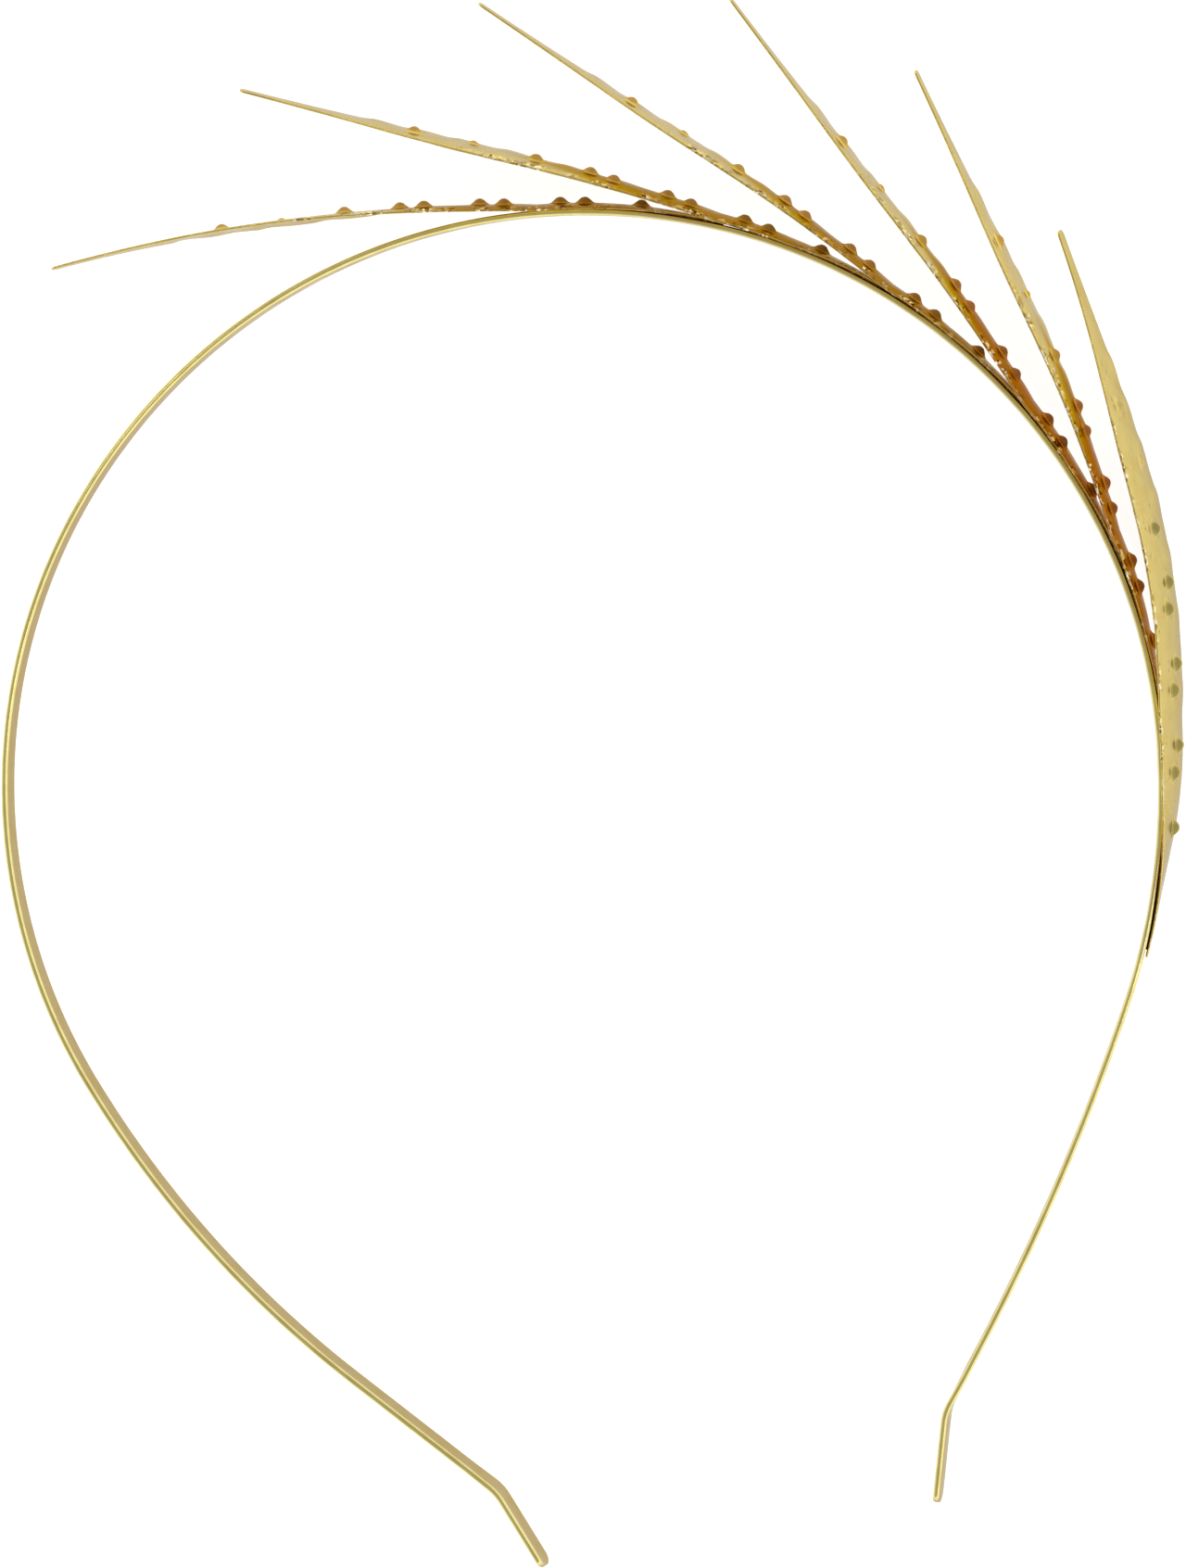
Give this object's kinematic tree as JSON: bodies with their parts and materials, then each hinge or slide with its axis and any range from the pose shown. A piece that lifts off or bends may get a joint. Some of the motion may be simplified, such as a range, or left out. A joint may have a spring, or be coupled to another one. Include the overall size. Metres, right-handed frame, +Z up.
{
  "type": "diadem",
  "caption": "Springy flat metal headband whose ends bend outwards, with long leaf-shaped sheet-metal blades overlapping along one side and fanning out in its plane",
  "frame": {"origin": "middle of the box in plan, on the surface that the diadem lies on", "axes": "+Y towards the crown of the headband, +X towards the bladed side, +Z up, across the headband's strip"},
  "size_m": [0.1302, 0.168, 0.0081],
  "materials": {
    "band_metal": "polished gold tone",
    "blade_metal": "polished gold tone with bumps and sparkling cut edges"
  },
  "bodies": {
    "root": {"headband": "band_metal", "blade_1": "blade_metal", "blade_2": "blade_metal", "blade_3": "blade_metal", "blade_4": "blade_metal", "blade_5": "blade_metal", "blade_6": "blade_metal"}
  },
  "joints": []
}
